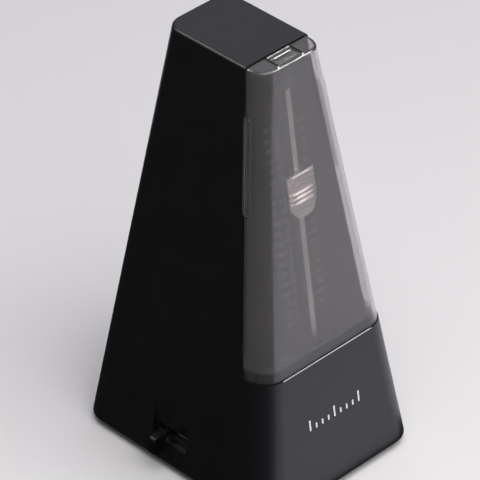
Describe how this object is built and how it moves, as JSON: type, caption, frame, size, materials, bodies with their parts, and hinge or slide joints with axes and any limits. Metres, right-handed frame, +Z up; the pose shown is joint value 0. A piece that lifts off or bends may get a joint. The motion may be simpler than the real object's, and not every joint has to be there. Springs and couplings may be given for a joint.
{
  "type": "mechanical metronome",
  "caption": "Wind-up pyramid metronome with a removable smoked lid, a pendulum with a sliding weight, a bell and a side lever that picks the beat.",
  "frame": {"origin": "on the floor, under the middle of the case", "axes": "+Z up; the front with the lid faces -Y; the beat lever is on the -X side and the winding key on the +X side"},
  "size_m": [0.1144, 0.1238, 0.221],
  "materials": {
    "case_plastic": "fine satin texture, black",
    "panel_plastic": "matt black",
    "smoke_plastic": "smoked translucent, frosted inside",
    "foot_rubber": "matt",
    "steel": "satin",
    "spring_steel": "blued, satin",
    "bell_steel": "polished",
    "weight_metal": "satin nickel",
    "rod_aluminium": "satin",
    "dark_brass": "dull",
    "brass": "satin"
  },
  "bodies": {
    "case": {"main_case": "case_plastic", "scale_panel": "panel_plastic", "base_plate": "case_plastic", "rod_catch": "case_plastic", "front_bearing_plate": "brass", "rear_cock": "brass", "click_screw": "steel", "click_spring": "steel", "left_plate": "brass", "right_plate": "brass", "pillar_1": "steel", "pillar_2": "steel", "pillar_3": "steel", "pillar_4": "steel", "bell": "bell_steel", "bell_post": "steel", "bell_nut": "brass", "hammer_post_front": "brass", "hammer_post_back": "brass", "foot_front_left": "foot_rubber", "foot_screw_front_left": "steel", "foot_front_right": "foot_rubber", "foot_screw_front_right": "steel", "foot_back_left": "foot_rubber", "foot_screw_back_left": "steel", "foot_back_right": "foot_rubber", "foot_screw_back_right": "steel"},
    "lid": {"front_lid": "smoke_plastic"},
    "pendulum": {"pendulum_rod": "rod_aluminium", "pendulum_arbor": "steel", "rod_nut": "brass", "rod_collar": "brass", "counterweight": "dark_brass", "left_pallet": "steel", "right_pallet": "steel"},
    "weight": {"sliding_weight": "weight_metal", "weight_spring": "steel"},
    "key": {"winding_key": "case_plastic", "barrel_arbor": "steel", "ratchet_wheel": "steel"},
    "click": {"click": "steel"},
    "barrel": {"mainspring_barrel": "brass", "barrel_cover": "brass", "mainspring": "spring_steel"},
    "second": {"second_wheel": "brass"},
    "escape": {"escape_wheel": "brass", "beat_wheel": "brass"},
    "hammer": {"hammer_arbor": "steel", "hammer_arm": "steel", "hammer_head": "brass", "hammer_spring": "steel"},
    "tail": {"hammer_tail": "steel"},
    "selector": {"selector_slide": "steel", "beat_lever": "case_plastic"}
  },
  "joints": [
    {"name": "lid_tilt", "type": "hinge", "parent": "case", "child": "lid", "pos_m": [0, -0.051, 0.0711], "axis": [1, 0, 0], "range_deg": [0, 55]},
    {"name": "pendulum_swing", "type": "hinge", "parent": "case", "child": "pendulum", "pos_m": [0, -0.0451, 0.054], "axis": [0, 0.9892, -0.1469], "range_deg": [-7, 7]},
    {"name": "weight_slide", "type": "slide", "parent": "pendulum", "child": "weight", "axis": [0, 0.1469, 0.9892], "range_m": [-0.0646, 0.0364]},
    {"name": "key_wind", "type": "hinge", "parent": "case", "child": "key", "pos_m": [0, 0.012, 0.036], "axis": [-1, 0, 0], "range_deg": [0, 1980]},
    {"name": "click_lift", "type": "hinge", "parent": "case", "child": "click", "pos_m": [0.0226, 0.0245, 0.049], "axis": [-1, 0, 0], "range_deg": [0, 12], "stiffness_Nm_per_rad": 0.002, "springref_deg": -5.73},
    {"name": "barrel_turn", "type": "hinge", "parent": "case", "child": "barrel", "pos_m": [0, 0.012, 0.036], "axis": [1, 0, 0], "continuous": true},
    {"name": "second_turn", "type": "hinge", "parent": "case", "child": "second", "pos_m": [0, -0.00592, 0.053], "axis": [1, 0, 0], "continuous": true},
    {"name": "escape_turn", "type": "hinge", "parent": "case", "child": "escape", "pos_m": [0, -0.0213, 0.03762], "axis": [1, 0, 0], "continuous": true},
    {"name": "hammer_swing", "type": "hinge", "parent": "case", "child": "hammer", "pos_m": [-0.033, 0, 0.038], "axis": [0, 1, 0], "range_deg": [-9, 4], "stiffness_Nm_per_rad": 0.012},
    {"name": "tail_shift", "type": "slide", "parent": "hammer", "child": "tail", "axis": [0, -1, 0], "range_m": [-0.0039, 0.0116]},
    {"name": "beat_select", "type": "slide", "parent": "case", "child": "selector", "axis": [0, -1, 0], "range_m": [-0.0039, 0.0116]}
  ],
  "couplings": [
    {"joint": "second_turn", "follows": "barrel_turn", "ratio": -4.2},
    {"joint": "escape_turn", "follows": "barrel_turn", "ratio": 20.16},
    {"joint": "tail_shift", "follows": "beat_select", "ratio": 1}
  ]
}
